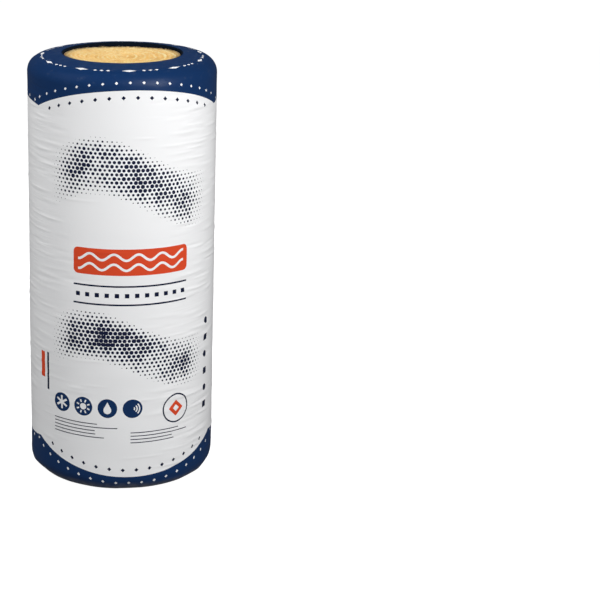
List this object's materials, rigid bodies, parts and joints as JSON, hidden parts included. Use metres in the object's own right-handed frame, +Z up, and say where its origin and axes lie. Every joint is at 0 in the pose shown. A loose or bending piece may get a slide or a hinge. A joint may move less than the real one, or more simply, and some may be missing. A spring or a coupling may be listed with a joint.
{
  "type": "insulation roll",
  "caption": "Upright roll of mineral wool matting in a white film wrapper, its ends folded in to a round opening that shows the wound wool; building insulation as sold.",
  "frame": {"origin": "centre of the ring that the roll stands on", "axes": "+Z up along the roll's axis, towards the open end that shows; -Y to the front of the print"},
  "size_m": [0.52, 0.52, 1.2],
  "materials": {
    "wool": "matte felted fibre, pale gold",
    "film": "thin polyethylene film, white with navy ends, satin gloss"
  },
  "bodies": {
    "root": {"wool_roll": "wool", "film_wrap": "film"}
  },
  "joints": []
}
